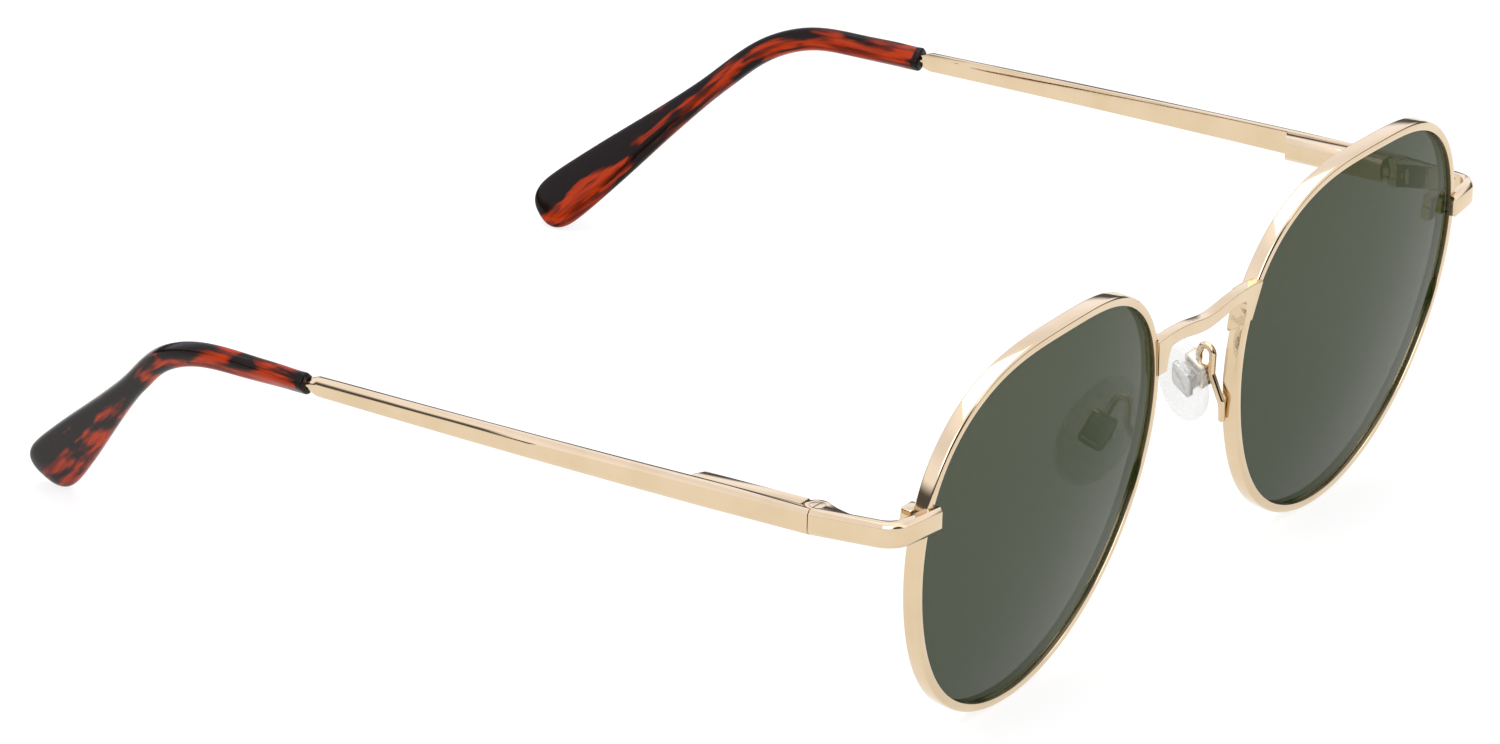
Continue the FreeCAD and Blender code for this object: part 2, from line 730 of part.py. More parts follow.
def make_housing():
    """The bored, bevelled box on the temple's inner side."""
    axis_x = bore_axis_x()
    outer_x = axis_x + housing_width / 2
    inner_x = axis_x - housing_width / 2
    half = housing_height / 2
    bevel = housing_height / 5
    corners = [(outer_x, -half), (inner_x + bevel, -half), (inner_x, -half + bevel),
               (inner_x, half - bevel), (inner_x + bevel, half), (outer_x, half)]
    section = polygon_wire([Vec(x, housing_start, z) for x, z in corners])
    body = Part.Face(section).extrude(Vec(0, housing_length, 0))
    end_y = housing_start + housing_length
    # the far end slopes down to the bar
    ramp = polygon_wire([Vec(inner_x - 1, end_y + 1, -half - 1),
                         Vec(inner_x - 1, end_y - housing_width * 0.6, -half - 1),
                         Vec(outer_x - 0.4, end_y, -half - 1),
                         Vec(outer_x - 0.4, end_y + 1, -half - 1)])
    body = body.cut(Part.Face(ramp).extrude(Vec(0, 0, housing_height + 2)))
    along = Vec(0, 1, 0)
    bore_length = plunger_length + spring_stop_length + spring_length + spring_head_length + spring_travel
    bore = cylinder(plunger_radius + plunger_clearance, Vec(axis_x, housing_start, 0), along, bore_length)
    pin_y = stop_start_y() + spring_stop_length / 2 - plunger_clearance
    pin_room = cylinder(retaining_pin_radius + thread_clearance, Vec(inner_x - 0.1, pin_y, 0),
                        Vec(1, 0, 0), housing_width / 2)
    return in_front_frame(body.cut(bore).cut(pin_room))


# ---------------------------------------------------------------- temples

def temple_station(distance):
    """Place on the bar's inner face, and the bar's direction, at a distance from the hinge."""
    beyond = max(0.0, distance - temple_straight)
    turn = temple_turn_in * beyond / (temple_length - temple_straight)
    shift = beyond * tangent(turn / 2)
    return Vec(bar_offset - shift, distance, 0), turn


def temple_section(distance, height, thickness, bevel_height=bar_bevel_height):
    """The bar's section at a distance, square to its direction."""
    origin, turn = temple_station(distance)
    across = Vec(cosine(turn), sine(turn), 0)
    corners = bar_section(height, thickness, bevel_height)
    return polygon_wire([origin + across * x + Vec(0, 0, z) for x, z in corners])


def tip_frame(distance):
    """Centre, direction, downward and outward axes of the tip at a distance along it."""
    origin, turn = temple_station(temple_length)
    across = Vec(cosine(turn), sine(turn), 0)
    along = Vec(-sine(turn), cosine(turn), 0)
    down = Vec(0, 0, -1) * cosine(tip_bend_lean) - across * sine(tip_bend_lean)
    start = origin + across * temple_end_thickness / 2
    bend_length = tip_bend_radius * math.radians(tip_bend_angle)
    bent = min(max(0.0, distance - tip_straight), bend_length)
    angle = math.degrees(bent / tip_bend_radius)
    centre = start + along * min(distance, tip_straight)
    centre += along * (tip_bend_radius * sine(angle)) + down * (tip_bend_radius * (1 - cosine(angle)))
    direction = along * cosine(angle) + down * sine(angle)
    centre += direction * max(0.0, distance - tip_straight - bend_length)
    inward = down * cosine(angle) - along * sine(angle)
    sideways = direction.cross(inward)
    # the first straight stretch is upright like the bar, and rolls over towards the bend
    settle = min(1.0, max(0.0, distance / tip_straight))
    roll = tip_bend_lean * (1 - settle * settle * (3 - 2 * settle))
    height_axis = inward * cosine(roll) + sideways * sine(roll)
    width_axis = sideways * cosine(roll) - inward * sine(roll)
    return centre, direction, height_axis, width_axis


tip_length = tip_straight + tip_bend_radius * math.radians(tip_bend_angle) + tip_tail


def tip_size(distance):
    """Height and thickness of the tip cover at a distance along it."""
    from_end = tip_length - distance
    fade = min(1.0, max(0.0, (tip_blade_length - from_end) / (tip_blade_length - tip_end_length)))
    spread = fade * (0.4 + 0.6 * fade * (3 - 2 * fade))
    height = tip_height + (tip_blade_height - tip_height) * spread
    thickness = tip_thickness + (tip_blade_thickness - tip_thickness) * spread
    if from_end < tip_end_length:
        part = 1 - from_end / tip_end_length
        height *= (1 - part ** 2.6) ** (1 / 2.6)
        thickness *= (1 - part ** 3.2) ** (1 / 3.2)
    return height, thickness


def tip_section(distance):
    """A rounded section of the tip cover."""
    centre, _, height_axis, width_axis = tip_frame(distance)
    height, thickness = tip_size(distance)
    points = []
    for step in range(16):
        angle = 22.5 * step
        power = 2 / tip_squareness
        x = math.copysign(abs(cosine(angle)) ** power, cosine(angle)) * thickness / 2
        z = math.copysign(abs(sine(angle)) ** power, sine(angle)) * height / 2
        points.append(centre + width_axis * x + height_axis * z)
    return Part.Wire(smooth_edge(points, closed=True))


def core_path(start_distance, end_distance):
    """The centre line of the wire core inside the tip."""
    bend_start = tip_straight
    bend_end = tip_length - tip_tail
    middle = (bend_start + bend_end) / 2
    points = [tip_frame(d)[0] for d in (start_distance, bend_start, middle, bend_end, end_distance)]
    edges = [Part.LineSegment(points[0], points[1]).toShape(),
             Part.Arc(points[1], points[2], points[3]).toShape(),
             Part.LineSegment(points[3], points[4]).toShape()]
    return Part.Wire(edges)


def make_temple_bar():
    """The bar from the hinge to the tip cover, and the round core that runs on inside it."""
    taper_start = temple_length - temple_end_taper
    straight = Part.makeLoft([temple_section(d, bar_height, bar_thickness)
                              for d in (0, temple_straight)], True, True)
    stations = []
    for step in range(6):
        share = step / 5
        distance = temple_straight + (taper_start - temple_straight) * share
        height = bar_height + (temple_end_height - bar_height) * share
        thickness = bar_thickness + (temple_end_thickness - bar_thickness) * share
        bevel = bar_bevel_height + (temple_end_bevel - bar_bevel_height) * share
        stations.append(temple_section(distance, height, thickness, bevel))
    long_part = Part.makeLoft(stations, True, False)
    taper = Part.makeLoft([stations[-1], temple_section(temple_length, 2 * core_radius + 0.3,
                                                        temple_end_thickness)], True, True)
    core = wire_solid(core_path(-temple_end_taper / 2, tip_length - core_end_margin), core_radius)
    bar = straight.fuse([long_part, taper, core])
    relief_start = Vec(0, 0, -bar_height)
    relief = cylinder(knuckle_radius + knuckle_clearance, relief_start, Vec(0, 0, 1), 2 * bar_height)
    return in_front_frame(bar.cut(relief))


def make_tip_cover():
    """The plastic tip cover with its widened end, bored for the core."""
    stations = [tip_straight * share for share in (0, 0.25, 0.5, 0.75, 1.0)]
    bend_length = tip_length - tip_tail - tip_straight
    stations += [tip_straight + bend_length * share for share in (0.25, 0.5, 0.75, 1.0)]
    blade_start = tip_length - tip_blade_length
    stations += [(stations[-1] + blade_start) / 2]
    stations += [blade_start + (tip_blade_length - tip_end_length) * i / 6 for i in range(7)]
    end_shares = (0.3, 0.55, 0.75, 0.88, 0.96, 0.99)
    stations += [tip_length - tip_end_length * (1 - share) for share in end_shares]
    cover = Part.makeLoft([tip_section(s) for s in stations], True, False)
    start = tip_frame(0.0)[0]
    mouth = [e for e in cover.Edges if (e.CenterOfMass - start).Length < tip_thickness / 4]
    cover = cover.makeFillet(tip_lip_radius, mouth)
    socket = wire_solid(core_path(-1.0, tip_length - core_end_margin + core_clearance),
                        core_radius + core_clearance)
    return in_front_frame(cover.cut(socket))


# ---------------------------------------------------------------- whole part

def left_pieces():
    """Every piece of the left side, in the front frame."""
    upper_block, lower_block, closing_screw = make_closing_blocks()
    pad, core, pad_box, pad_screw = make_pad_set()
    bush, pin, coil = make_spring_set()
    return {
        "rim": make_rim(), "lens": make_lens(),
        "closing_block_upper": upper_block, "closing_block_lower": lower_block,
        "closing_screw": closing_screw, "endpiece": make_endpiece(), "hinge_screw": make_hinge_screw(),
        "pad_arm": make_pad_arm(), "pad_box": pad_box, "pad_screw": pad_screw,
        "nose_pad": pad, "nose_pad_core": core,
        "hinge_plunger": make_plunger(), "spring_stop": bush, "retaining_pin": pin, "hinge_spring": coil,
        "spring_housing": make_housing(), "temple_bar": make_temple_bar(), "tip_cover": make_tip_cover(),
    }


def resting_placement(pieces):
    """Tilt and shift that stand the part on its rims and tips, centred over the origin."""
    rim_points = surface_points(pieces["rim"])
    tip_points = surface_points(pieces["tip_cover"])

    def lowest(points, tilt):
        return min(p.y * sine(tilt) + p.z * cosine(tilt) for p in points)

    low, high = 0.0, 20.0
    for _ in range(40):
        tilt = (low + high) / 2
        if lowest(tip_points, tilt) < lowest(rim_points, tilt):
            low = tilt
        else:
            high = tilt
    rotation = FreeCAD.Rotation(Vec(1, 0, 0), tilt)
    front_points = rim_points + surface_points(pieces["lens"]) + surface_points(pieces["endpiece"])
    reach = [rotation.multVec(p) for p in front_points + tip_points]
    middle_y = (min(p.y for p in reach) + max(p.y for p in reach)) / 2
    return FreeCAD.Placement(Vec(0, -middle_y, -min(p.z for p in reach)), rotation)


def surface_points(shape):
    """Points spread over a shape's surface."""
    return shape.tessellate(0.01)[0]


def all_pieces():
    """Every named piece in the finished part's frame."""
    left = left_pieces()
    bridge = make_bridge()
    placement = resting_placement(dict(left, bridge=bridge))
    pieces = {"bridge": bridge}
    for name, shape in left.items():
        pieces["left_" + name] = shape
        pieces["right_" + name] = shape.mirror(Vec(0, 0, 0), Vec(1, 0, 0))
    for name, shape in pieces.items():
        moved = shape.copy()
        moved.Placement = placement.multiply(moved.Placement)
        pieces[name] = moved
    return pieces


def main():
    os.makedirs("parts", exist_ok=True)
    for name, shape in all_pieces().items():
        shape.exportStep("parts/" + name + ".step")


if __name__ == "__main__":
    main()
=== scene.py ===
"""Looks of the round metal sunglasses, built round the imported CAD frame."""

import logging
import math
from dataclasses import dataclass, field
from enum import Enum
from typing import Any, Optional, Union

import bpy
import numpy as np
from mathutils import Matrix, Vector


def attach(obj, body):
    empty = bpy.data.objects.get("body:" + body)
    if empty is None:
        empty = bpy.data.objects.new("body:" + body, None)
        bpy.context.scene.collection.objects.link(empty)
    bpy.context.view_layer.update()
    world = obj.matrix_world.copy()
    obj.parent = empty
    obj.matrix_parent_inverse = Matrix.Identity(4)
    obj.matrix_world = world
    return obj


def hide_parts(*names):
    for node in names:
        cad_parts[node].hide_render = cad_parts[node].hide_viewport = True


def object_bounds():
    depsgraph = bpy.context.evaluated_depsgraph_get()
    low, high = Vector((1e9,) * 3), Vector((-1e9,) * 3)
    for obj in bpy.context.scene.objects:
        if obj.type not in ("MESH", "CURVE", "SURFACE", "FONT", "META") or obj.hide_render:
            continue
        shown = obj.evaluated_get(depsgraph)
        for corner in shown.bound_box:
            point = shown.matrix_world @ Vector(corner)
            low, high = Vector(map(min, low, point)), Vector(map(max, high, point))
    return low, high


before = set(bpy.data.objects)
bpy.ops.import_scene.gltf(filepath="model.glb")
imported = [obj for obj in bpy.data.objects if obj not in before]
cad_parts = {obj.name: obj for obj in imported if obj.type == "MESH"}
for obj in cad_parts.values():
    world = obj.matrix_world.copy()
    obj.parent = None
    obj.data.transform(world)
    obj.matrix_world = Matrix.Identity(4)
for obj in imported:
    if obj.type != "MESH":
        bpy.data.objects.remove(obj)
CAD_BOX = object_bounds()

MM = 0.001
LOG = logging.getLogger("sunglasses")

Triple = tuple[float, float, float]
Pair = tuple[float, float]
Number = Union[int, float]

WHITE: Triple = (1.0, 1.0, 1.0)


# ---------------------------------------------------------------- shader maths

class Socket:
    """An output socket that takes part in Python expressions."""

    def __init__(self, graph: "Graph", link: Any) -> None:
        """Wraps an output socket of a graph."""
        self.graph = graph
        self.link = link

    def __add__(self, other: Any) -> "Socket":
        """Sum."""
        return self.graph.math("ADD", self, other)

    def __radd__(self, other: Any) -> "Socket":
        """Sum, with the number on the left."""
        return self.graph.math("ADD", other, self)

    def __sub__(self, other: Any) -> "Socket":
        """Difference."""
        return self.graph.math("SUBTRACT", self, other)

    def __rsub__(self, other: Any) -> "Socket":
        """Difference, with the number on the left."""
        return self.graph.math("SUBTRACT", other, self)

    def __mul__(self, other: Any) -> "Socket":
        """Product."""
        return self.graph.math("MULTIPLY", self, other)

    def maximum(self, other: Any) -> "Socket":
        """The larger of two values."""
        return self.graph.math("MAXIMUM", self, other)

    def step(self, low: Number, high: Number) -> "Socket":
        """A smooth rise from 0 at low to 1 at high.

        Args:
            low: value at which the rise starts.
            high: value at which it ends.

        Returns:
            The smoothed value, between 0 and 1.
        """
        node = self.graph.node("ShaderNodeMapRange", {"interpolation_type": "SMOOTHSTEP"},
                               {"Value": self, "From Min": low, "From Max": high})
        return self.graph.out(node, "Result")


class Graph:
    """The nodes of one material or of the world."""

    def __init__(self, owner: Any) -> None:
        """Empties the owner's node tree.

        Args:
            owner: a material or a world.
        """
        owner.use_nodes = True
        self.tree = owner.node_tree
        self.tree.nodes.clear()

    def node(self, kind: str, settings: Optional[dict[str, Any]] = None,
             inputs: Optional[dict[Any, Any]] = None) -> bpy.types.Node:
        """Makes one node.

        Args:
            kind: the node's type.
            settings: properties that are set first, such as an operation.
            inputs: values or Socket links, by socket name or index.

        Returns:
            The new node.
        """
        made = self.tree.nodes.new(kind)
        for name, value in (settings or {}).items():
            setattr(made, name, value)
        for name, value in (inputs or {}).items():
            if isinstance(value, Socket):
                self.tree.links.new(value.link, made.inputs[name])
            else:
                made.inputs[name].default_value = value
        return made

    def out(self, made: bpy.types.Node, name: Any = 0) -> Socket:
        """An output of a node, ready for expressions."""
        return Socket(self, made.outputs[name])

    def math(self, operation: str, first: Any, second: Any) -> Socket:
        """A Math node.

        Args:
            operation: the node's operation.
            first: first value or socket.
            second: second value or socket.

        Returns:
            The result.
        """
        return self.out(self.node("ShaderNodeMath", {"operation": operation}, {0: first, 1: second}))

    def blend(self, share: Socket, first: Union[Triple, Socket], second: Triple) -> Socket:
        """A colour between two colours.

        Args:
            share: 0 for the first colour, 1 for the second.
            first: first colour, or a socket that gives it.
            second: second colour.

        Returns:
            The mixed colour.
        """
        start = first if isinstance(first, Socket) else (*first, 1.0)
        mixed = self.node("ShaderNodeMix", {"data_type": "RGBA"},
                          {"Factor": share, 6: start, 7: (*second, 1.0)})
        return self.out(mixed, 2)

    def place(self, scale: Triple = (1, 1, 1), shift: Triple = (0, 0, 0), attribute: str = "") -> Socket:
        """Coordinates for a pattern.

        Args:
            scale: scale along each axis.
            shift: shift along each axis, after the scale.
            attribute: name of the piece's own attribute; Object coordinates without one.

        Returns:
            The coordinates.
        """
        if attribute:
            source = self.out(self.node("ShaderNodeAttribute", {"attribute_name": attribute}), "Vector")
        else:
            source = self.out(self.node("ShaderNodeTexCoord"), "Object")
        made = self.node("ShaderNodeMapping", {}, {"Vector": source, "Location": shift, "Scale": scale})
        return self.out(made)

    def axes(self, where: Socket) -> tuple[Socket, Socket, Socket]:
        """The X, Y and Z parts of coordinates or of a direction."""
        parts = self.node("ShaderNodeSeparateXYZ", {}, {0: where})
        return self.out(parts, "X"), self.out(parts, "Y"), self.out(parts, "Z")

    def noise(self, where: Socket, scale: float, detail: float = 2.0, roughness: float = 0.5,
              warp: float = 0.0) -> Socket:
        """Noise between 0 and 1.

        Args:
            where: coordinates.
            scale: about how many features there are in one unit of the coordinates.
            detail: octaves.
            roughness: weight of the finer octaves.
            warp: how far the noise is stirred.

        Returns:
            The noise value.
        """
        inputs = {"Vector": where, "Scale": scale, "Detail": detail, "Roughness": roughness,
                  "Distortion": warp}
        return self.out(self.node("ShaderNodeTexNoise", {}, inputs))

    def bump(self, height: Socket, distance: float) -> Socket:
        """A normal from a height.

        Args:
            height: height between 0 and 1.
            distance: real height of 1, in metres.

        Returns:
            The normal.
        """
        return self.out(self.node("ShaderNodeBump", {}, {"Height": height, "Distance": distance}))

    def surface(self, **inputs: Any) -> None:
        """Ends a material in a Principled shader.

        Args:
            inputs: values, colours or sockets by name, with an underscore for each space.
        """
        named = {}
        for name, value in inputs.items():
            is_colour = isinstance(value, tuple) and len(value) == 3
            named[name.replace("_", " ")] = (*value, 1.0) if is_colour else value
        shader = self.node("ShaderNodeBsdfPrincipled", {}, named)
        self.node("ShaderNodeOutputMaterial", {}, {"Surface": self.out(shader)})


# ---------------------------------------------------------------- finishes

@dataclass(frozen=True)
class GoldPlate:
    """Polished pale gold plating with faint polishing marks."""

    name: str = "pale_gold_plate"
    bright: Triple = (0.725, 0.570, 0.385)
    deep: Triple = (0.685, 0.530, 0.345)
    smooth: float = 0.045
    hazy: float = 0.10
    cloud_scale: float = 160.0
    cloud_detail: float = 3.0
    tone_edges: Pair = (0.3, 0.7)
    haze_edges: Pair = (0.35, 0.75)
    mark_scale: float = 5200.0
    mark_stretch: Triple = (1, 0.12, 1)
    mark_roughness: float = 0.6
    marks_in_haze: float = 0.4
    marks_in_relief: float = 0.2
    ripple_scale: float = 900.0
    relief: float = 0.0009 * MM

    def build(self) -> bpy.types.Material:
        """Makes the material."""
        material = bpy.data.materials.new(self.name)
        graph = Graph(material)
        cloud = graph.noise(graph.place(), self.cloud_scale, self.cloud_detail)
        marks = graph.noise(graph.place(self.mark_stretch), self.mark_scale, roughness=self.mark_roughness)
        ripple = graph.noise(graph.place(), self.ripple_scale, detail=1.0)
        haze = cloud.step(*self.haze_edges) * (1 - self.marks_in_haze) + marks * self.marks_in_haze
        surface = ripple * (1 - self.marks_in_relief) + marks * self.marks_in_relief
        graph.surface(
            Base_Color=graph.blend(cloud.step(*self.tone_edges), self.bright, self.deep),
            Metallic=1.0,
            Roughness=haze * (self.hazy - self.smooth) + self.smooth,
            Normal=graph.bump(surface, self.relief))
        return material


@dataclass(frozen=True)
class TurnedSteel:
    """Turned metal of the small screws and pins."""

    name: str
    colour: Triple
    rough: float = 0.24
    rough_spread: float = 0.12
    ring_scale: float = 9000.0
    ring_squeeze: Triple = (1, 1, 6)
    cloud_scale: float = 1500.0
    cloud_edges: Pair = (0.35, 0.7)
    shade: float = 0.82
    relief: float = 0.003 * MM

    def build(self) -> bpy.types.Material:
        """Makes the material."""
        material = bpy.data.materials.new(self.name)
        graph = Graph(material)
        rings = graph.noise(graph.place(self.ring_squeeze), self.ring_scale)
        cloud = graph.noise(graph.place(), self.cloud_scale)
        shaded = tuple(part * self.shade for part in self.colour)
        graph.surface(
            Base_Color=graph.blend(cloud.step(*self.cloud_edges), self.colour, shaded),
            Metallic=1.0,
            Roughness=rings * self.rough_spread + self.rough,
            Normal=graph.bump(rings, self.relief))
        return material


@dataclass(frozen=True)
class SmokedLens:
    """Dark grey-green lens that lets a little light through.

    Light crosses two surfaces, so the share that gets through is the square of what one surface lets by.
    Its colour gets lighter towards the top of the lens: a painted reflection.
    """

    name: str = "grey_green_lens"
    # low is the colour at the bottom of the lens; high, the lighter colour at the top, is a painted
    # reflection
    low: Triple = (0.026, 0.045, 0.008)
    high: Triple = (0.038, 0.056, 0.014)
    sheen: Triple = (0.90, 1.0, 0.62)
    # heights, in metres, over which the painted reflection lightens the lens colour
    painted_reflection_heights: Pair = (0.010, 0.044)
    cloud_scale: float = 40.0
    cloud_share: float = 0.15
    smooth: float = 0.02
    rough_spread: float = 0.02
    refraction: float = 1.12
    opacity: float = 0.75
    opacity_spread: float = 0.02

    def build(self) -> bpy.types.Material:
        """Makes the material."""
        material = bpy.data.materials.new(self.name)
        graph = Graph(material)
        _, _, up = graph.axes(graph.place())
        cloud = graph.noise(graph.place(), self.cloud_scale)
        # painted reflection: the colour gets lighter towards the top of the lens, with a little random
        # cloud mixed in
        height = up.step(*self.painted_reflection_heights)
        share = height * (1 - self.cloud_share) + cloud * self.cloud_share
        graph.surface(
            Base_Color=graph.blend(share, self.low, self.high),
            Roughness=cloud * self.rough_spread + self.smooth,
            IOR=self.refraction,
            Specular_Tint=self.sheen,
            Alpha=cloud * self.opacity_spread + self.opacity)
        return material


@dataclass(frozen=True)
class Tortoiseshell:
    """Glossy plastic with near-black patches in orange-red, which follow the tip.

    The attribute holds the distance along the tip and across it in millimetres, so the stretches below are
    in millimetres too.
    """

    name: str
    shift: Triple
    amber: Triple = (0.46, 0.036, 0.002)
    rust: Triple = (0.15, 0.012, 0.003)
    dark: Triple = (0.010, 0.005, 0.004)
    attribute: str = "tip_place"
    patch_scale: Triple = (0.14, 0.42, 0.42)
    patch_roughness: float = 0.45
    patch_warp: float = 0.5
    patch_edges: Pair = (0.40, 0.56)
    wisp_scale: Triple = (0.10, 0.8, 0.8)
    wisp_fineness: float = 1.6
    wisp_warp: float = 0.3
    wisp_weight: float = 0.3
    warm_edges: Pair = (0.38, 0.62)
    mouth: Pair = (0.0, 0.9)
    straight: Pair = (14.0, 22.0)
    bend: Pair = (12.0, 20.0)
    end: Pair = (50.0, 58.0)
    upper_side: Pair = (0.0, 1.2)
    weight: float = 0.10
    smooth: float = 0.10
    rough_spread: float = 0.05
    refraction: float = 1.5
    gloss: float = 0.14
    relief: float = 0.003 * MM

    def build(self) -> bpy.types.Material:
        """Makes the material."""
        material = bpy.data.materials.new(self.name)
        graph = Graph(material)
        where = graph.place(self.patch_scale, self.shift, self.attribute)
        fine = graph.place(self.wisp_scale, self.shift, self.attribute)
        along, across, _ = graph.axes(graph.place(attribute=self.attribute))
        patches = graph.noise(where, 1.0, roughness=self.patch_roughness, warp=self.patch_warp)
        wisps = graph.noise(fine, self.wisp_fineness, warp=self.wisp_warp)
        mask = self.patch_mask(along, across, patches, wisps)
        warm = graph.blend(wisps.step(*self.warm_edges), self.amber, self.rust)
        graph.surface(
            Base_Color=graph.blend(mask, warm, self.dark),
            Roughness=wisps * self.rough_spread + self.smooth,
            IOR=self.refraction,
            Specular_IOR_Level=self.gloss,
            Normal=graph.bump(wisps, self.relief))
        return material

    def patch_mask(self, along: Socket, across: Socket, patches: Socket, wisps: Socket) -> Socket:
        """Where the plastic is dark.

        Args:
            along: distance along the tip.
            across: distance outwards across it.
            patches: broad noise.
            wisps: fine noise.

        Returns:
            1 in a dark patch, 0 outside.
        """
        upper = across.step(*self.upper_side) * (along.step(*self.bend) * self.weight + self.weight)
        straight = 1.0 - along.step(*self.straight)
        mouth = 1.0 - along.step(*self.mouth)
        amount = patches + upper - straight * self.weight - along.step(*self.end) * self.weight
        return (amount + (wisps - 0.5) * self.wisp_weight + mouth).step(*self.patch_edges)


@dataclass(frozen=True)
class ClearResin:
    """Clear, colourless pad plastic."""

    name: str = "clear_resin"
    tint: Triple = (0.93, 0.93, 0.92)
    shade: float = 0.97
    cloud_scale: float = 700.0
    smooth: float = 0.10
    refraction: float = 1.45
    gloss: float = 0.5
    opacity: float = 0.25
    spread: float = 0.06
    relief: float = 0.008 * MM

    def build(self) -> bpy.types.Material:
        """Makes the material."""
        material = bpy.data.materials.new(self.name)
        graph = Graph(material)
        cloud = graph.noise(graph.place(), self.cloud_scale)
        shaded = tuple(part * self.shade for part in self.tint)
        graph.surface(
            Base_Color=graph.blend(cloud, self.tint, shaded),
            Roughness=cloud * self.spread + self.smooth,
            IOR=self.refraction,
            Specular_IOR_Level=self.gloss,
            Alpha=cloud * self.spread + self.opacity,
            Normal=graph.bump(cloud, self.relief))
        return material


# ---------------------------------------------------------------- mesh tools

class Workshop:
    """Small modelling steps with Blender's operators."""

    MERGE_DISTANCE = 0.002 * MM
    FLAT_ANGLE = math.radians(0.3)
    EDGE_ANGLE = math.radians(28.0)
    SMOOTH_ANGLE = math.radians(32.0)
    ROUNDING_ROWS = 2

    @staticmethod
    def alone(piece: bpy.types.Object) -> None:
        """Selects one piece and nothing else."""
        bpy.ops.object.select_all(action="DESELECT")
        piece.select_set(True)
        bpy.context.view_layer.objects.active = piece

    @staticmethod
    def copy_node(node: str, name: str) -> bpy.types.Object:
        """A copy of a CAD node with its triangles merged into one skin.

        Args:
            node: name of the CAD node.
            name: name of the new piece.

        Returns:
            The copy.
        """
        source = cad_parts[node]
        copy = bpy.data.objects.new(name, source.data.copy())
        bpy.context.scene.collection.objects.link(copy)
        copy.data.materials.clear()
        Workshop.alone(copy)
        bpy.ops.object.mode_set(mode="EDIT")
        bpy.ops.mesh.select_all(action="SELECT")
        bpy.ops.mesh.remove_doubles(threshold=Workshop.MERGE_DISTANCE)
        bpy.ops.mesh.dissolve_limited(angle_limit=Workshop.FLAT_ANGLE)
        bpy.ops.mesh.customdata_custom_splitnormals_clear()
        bpy.ops.object.mode_set(mode="OBJECT")
        return copy

    @staticmethod
    def apply(piece: bpy.types.Object, kind: str, **settings: Any) -> None:
        """Adds a modifier and applies it.

        Args:
            piece: the piece.
            kind: the modifier's type.
            settings: the modifier's properties.
        """
        Workshop.alone(piece)
        modifier = piece.modifiers.new(kind.lower(), kind)
        for name, value in settings.items():
            setattr(modifier, name, value)
        bpy.ops.object.modifier_apply(modifier=modifier.name)

    @staticmethod
    def soften(piece: bpy.types.Object, width: float) -> None:
        """Rounds the sharp edges of a piece and shades it smooth.

        Args:
            piece: the piece.
            width: width of the rounding, in metres; none at 0.
        """
        if width > 0:
            Workshop.apply(piece, "BEVEL", limit_method="ANGLE", angle_limit=Workshop.EDGE_ANGLE,
                           width=width, segments=Workshop.ROUNDING_ROWS, use_clamp_overlap=True,
                           miter_outer="MITER_ARC", loop_slide=True)
        Workshop.alone(piece)
        bpy.ops.object.shade_smooth_by_angle(angle=Workshop.SMOOTH_ANGLE)

    @staticmethod
    def shape(node: str, name: str, width: float = 0.0) -> bpy.types.Object:
        """A smooth copy of a CAD node.

        Args:
            node: name of the CAD node.
            name: name of the new piece.
            width: width of the rounding of its edges, in metres.

        Returns:
            The piece.
        """
        piece = Workshop.copy_node(node, name)
        Workshop.soften(piece, width)
        return piece


@dataclass
class Dresser:
    """Finishes by name, and the step that hands a piece to the frame."""

    finishes: dict[str, bpy.types.Material] = field(default_factory=dict)

    def hand_over(self, piece: bpy.types.Object, body: str, finish: str, slot: str, *nodes: str) -> None:
        """Gives a piece its finish, its body and the nodes that it stands for.

        Args:
            piece: the finished piece.
            body: the body that it moves with.
            finish: name of its finish.
            slot: name of its material slot in the record; not used.
            nodes: the CAD nodes that it replaces.
        """
        piece.data.materials.clear()
        piece.data.materials.append(self.finishes[finish])
        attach(piece, body)
        if nodes:
            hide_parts(*nodes)
        LOG.info("%s rides on %s in %s", piece.name, body, finish)

    def metal(self, node: str, name: str, body: str, width: float = 0.0) -> None:
        """Makes a gold piece from a CAD node.

        Args:
            node: name of the CAD node.
            name: name of the new piece.
            body: the body that it moves with.
            width: width of the rounding of its edges, in metres.
        """
        self.hand_over(Workshop.shape(node, name, width), body, "gold", "frame_metal", node)

    def paint_node(self, node: str, finish: str) -> None:
        """Gives a CAD node that stays as it is its finish."""
        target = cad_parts[node]
        target.data.materials.clear()
        target.data.materials.append(self.finishes[finish])
        LOG.info("%s keeps its shape in %s", node, finish)


# ---------------------------------------------------------------- sub-assemblies

class Side(Enum):
    """The wearer's side that a piece is on."""

    LEFT = "left"
    RIGHT = "right"


@dataclass
class Front:
    """Rims, lenses, bridge, closing blocks and endpieces."""

    dresser: Dresser
    rim_round: float = 0.11 * MM
    strap_round: float = 0.16 * MM
    block_round: float = 0.06 * MM

    def build(self) -> None:
        """Makes every piece of the front."""
        self.dresser.metal("bridge", "bridge_bar", "front")
        for side in Side:
            start = side.value + "_"
            self.dresser.metal(start + "rim", start + "rim_wire", "front", self.rim_round)
            self.dresser.metal(start + "endpiece", start + "end_strap", "front", self.strap_round)
            for level in ("upper", "lower"):
                block = start + "closing_block_" + level
                self.dresser.metal(block, block + "_cut", "front", self.block_round)
            self.dresser.paint_node(start + "closing_screw", "screw_steel")
            lens = Workshop.shape(start + "lens", start + "lens_glass")
            self.dresser.hand_over(lens, "front", "lens", "lens", start + "lens")


